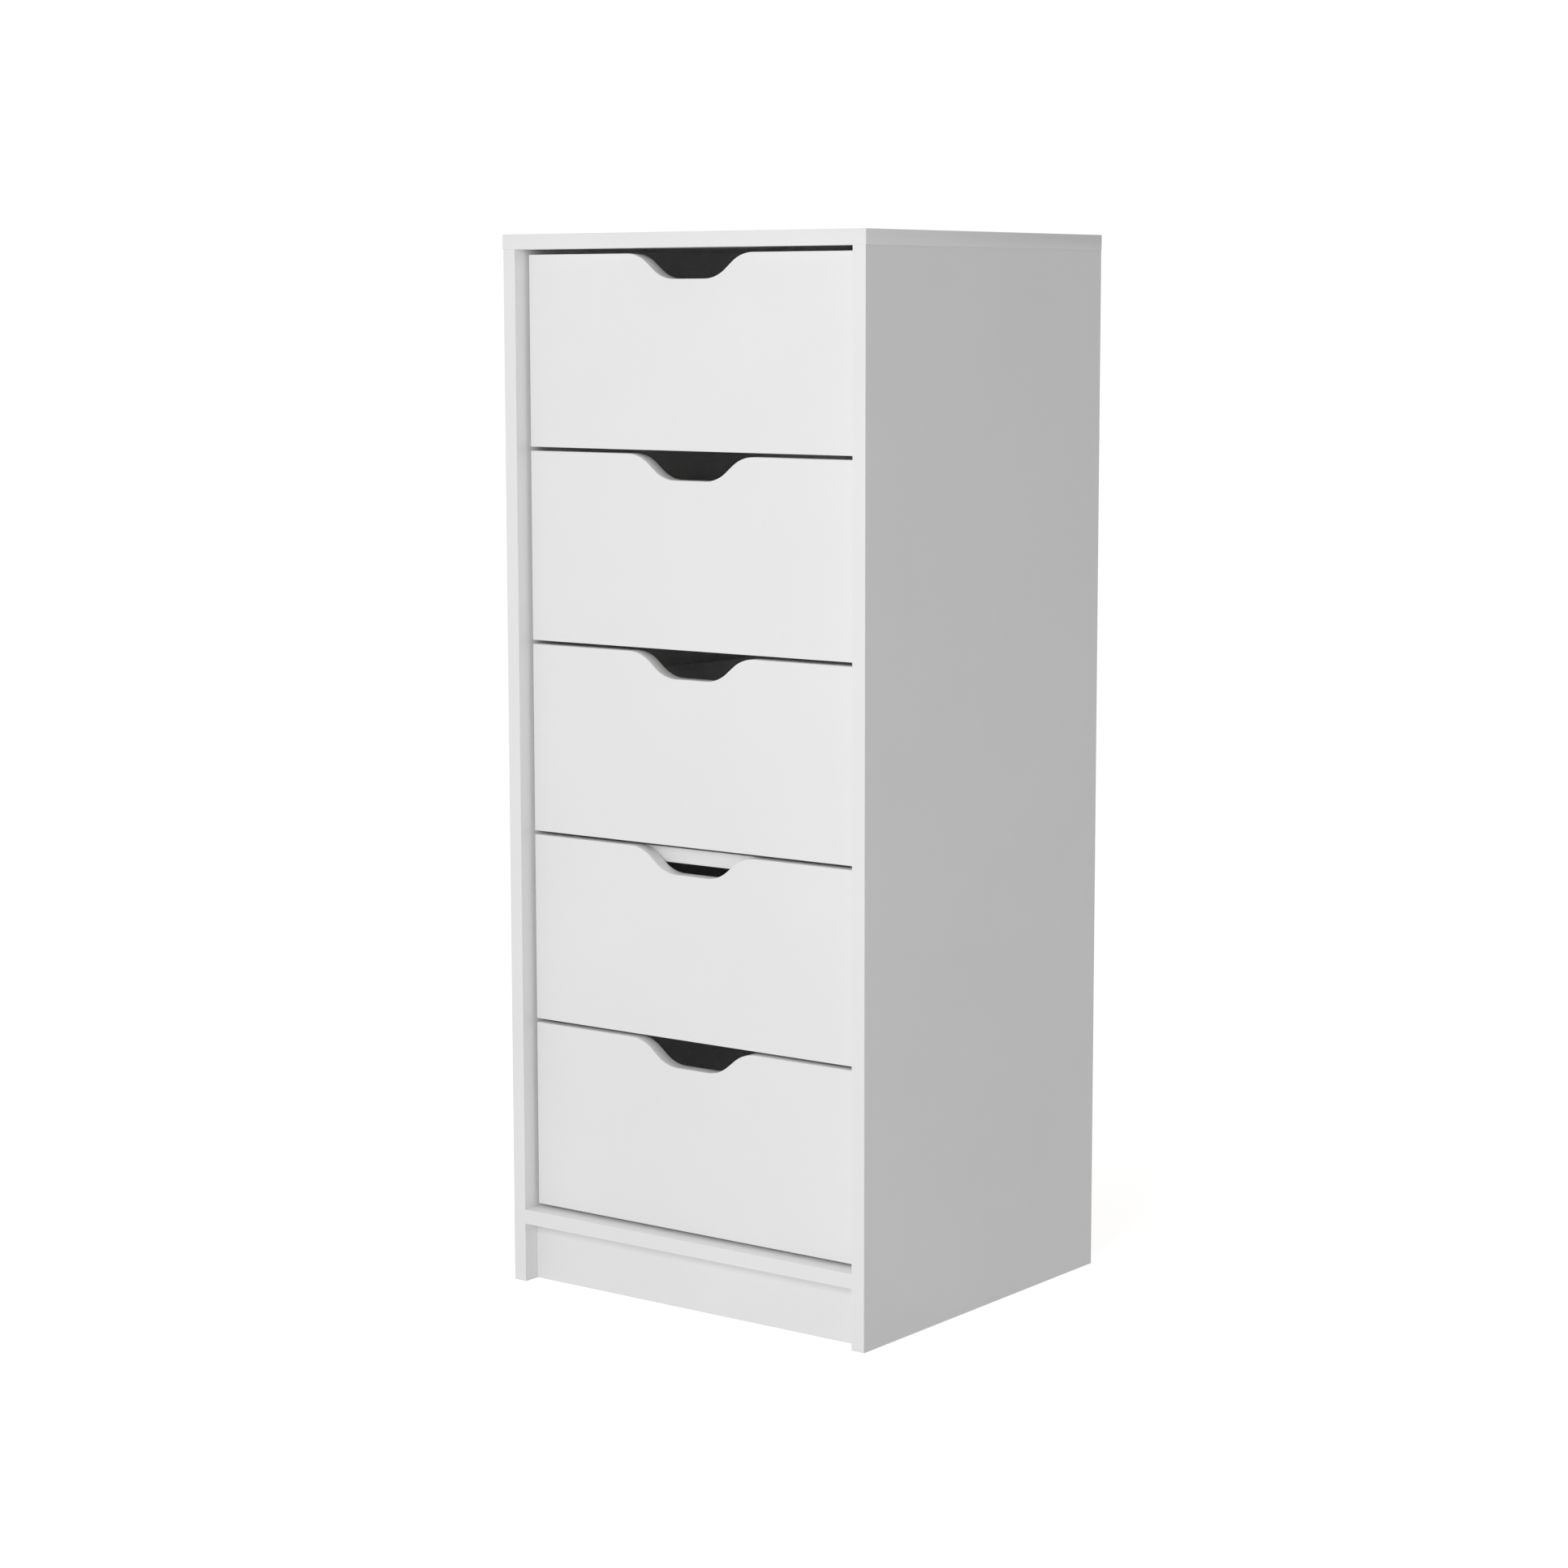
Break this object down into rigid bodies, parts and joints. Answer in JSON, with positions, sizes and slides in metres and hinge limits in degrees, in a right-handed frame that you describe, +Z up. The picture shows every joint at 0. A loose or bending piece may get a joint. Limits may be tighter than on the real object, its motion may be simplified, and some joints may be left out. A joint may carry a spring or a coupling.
{
  "type": "tall chest of drawers",
  "caption": "Tall narrow white chest of drawers with flush inset fronts, each with a scooped finger notch, on side panels that reach the floor around a recessed plinth.",
  "frame": {"origin": "on the floor, at the centre of the footprint", "axes": "+Z up, +X to the right as seen from the front, drawer fronts facing -Y"},
  "size_m": [0.45, 0.413, 1.078],
  "materials": {
    "carcass_board": "white melamine-faced board, satin",
    "front_board": "white melamine-faced board, satin",
    "drawer_board": "white foil-wrapped board, satin",
    "hardboard": "white lacquered hardboard, matt",
    "runner_plastic": "white moulded plastic",
    "zinc_fixing": "zinc-plated",
    "dowel": "bare beech"
  },
  "bodies": {
    "carcass": {"side_left": "carcass_board", "side_right": "carcass_board", "top_panel": "carcass_board", "bottom_panel": "carcass_board", "plinth": "carcass_board", "cross_rail": "carcass_board", "back_panel": "hardboard", "carcass_cams": "zinc_fixing", "carcass_bolts": "zinc_fixing", "carcass_dowels": "dowel", "back_nails": "zinc_fixing", "runner_screws": "zinc_fixing", "runner_left_1": "runner_plastic", "runner_left_2": "runner_plastic", "runner_left_3": "runner_plastic", "runner_left_4": "runner_plastic", "runner_left_5": "runner_plastic", "runner_right_1": "runner_plastic", "runner_right_2": "runner_plastic", "runner_right_3": "runner_plastic", "runner_right_4": "runner_plastic", "runner_right_5": "runner_plastic"},
    "drawer_1": {"drawer_front_1": "front_board", "drawer_side_left_1": "drawer_board", "drawer_side_right_1": "drawer_board", "drawer_back_1": "drawer_board", "drawer_bottom_1": "hardboard", "drawer_cams_1": "zinc_fixing", "drawer_screws_1": "zinc_fixing"},
    "drawer_2": {"drawer_front_2": "front_board", "drawer_side_left_2": "drawer_board", "drawer_side_right_2": "drawer_board", "drawer_back_2": "drawer_board", "drawer_bottom_2": "hardboard", "drawer_cams_2": "zinc_fixing", "drawer_screws_2": "zinc_fixing"},
    "drawer_3": {"drawer_front_3": "front_board", "drawer_side_left_3": "drawer_board", "drawer_side_right_3": "drawer_board", "drawer_back_3": "drawer_board", "drawer_bottom_3": "hardboard", "drawer_cams_3": "zinc_fixing", "drawer_screws_3": "zinc_fixing"},
    "drawer_4": {"drawer_front_4": "front_board", "drawer_side_left_4": "drawer_board", "drawer_side_right_4": "drawer_board", "drawer_back_4": "drawer_board", "drawer_bottom_4": "hardboard", "drawer_cams_4": "zinc_fixing", "drawer_screws_4": "zinc_fixing"},
    "drawer_5": {"drawer_front_5": "front_board", "drawer_side_left_5": "drawer_board", "drawer_side_right_5": "drawer_board", "drawer_back_5": "drawer_board", "drawer_bottom_5": "hardboard", "drawer_cams_5": "zinc_fixing", "drawer_screws_5": "zinc_fixing"}
  },
  "joints": [
    {"name": "drawer_1_slide", "type": "slide", "parent": "carcass", "child": "drawer_1", "axis": [0, -1, 0], "range_m": [0, 0.24]},
    {"name": "drawer_2_slide", "type": "slide", "parent": "carcass", "child": "drawer_2", "axis": [0, -1, 0], "range_m": [0, 0.24]},
    {"name": "drawer_3_slide", "type": "slide", "parent": "carcass", "child": "drawer_3", "axis": [0, -1, 0], "range_m": [0, 0.24]},
    {"name": "drawer_4_slide", "type": "slide", "parent": "carcass", "child": "drawer_4", "axis": [0, -1, 0], "range_m": [0, 0.24]},
    {"name": "drawer_5_slide", "type": "slide", "parent": "carcass", "child": "drawer_5", "axis": [0, -1, 0], "range_m": [0, 0.24]}
  ]
}
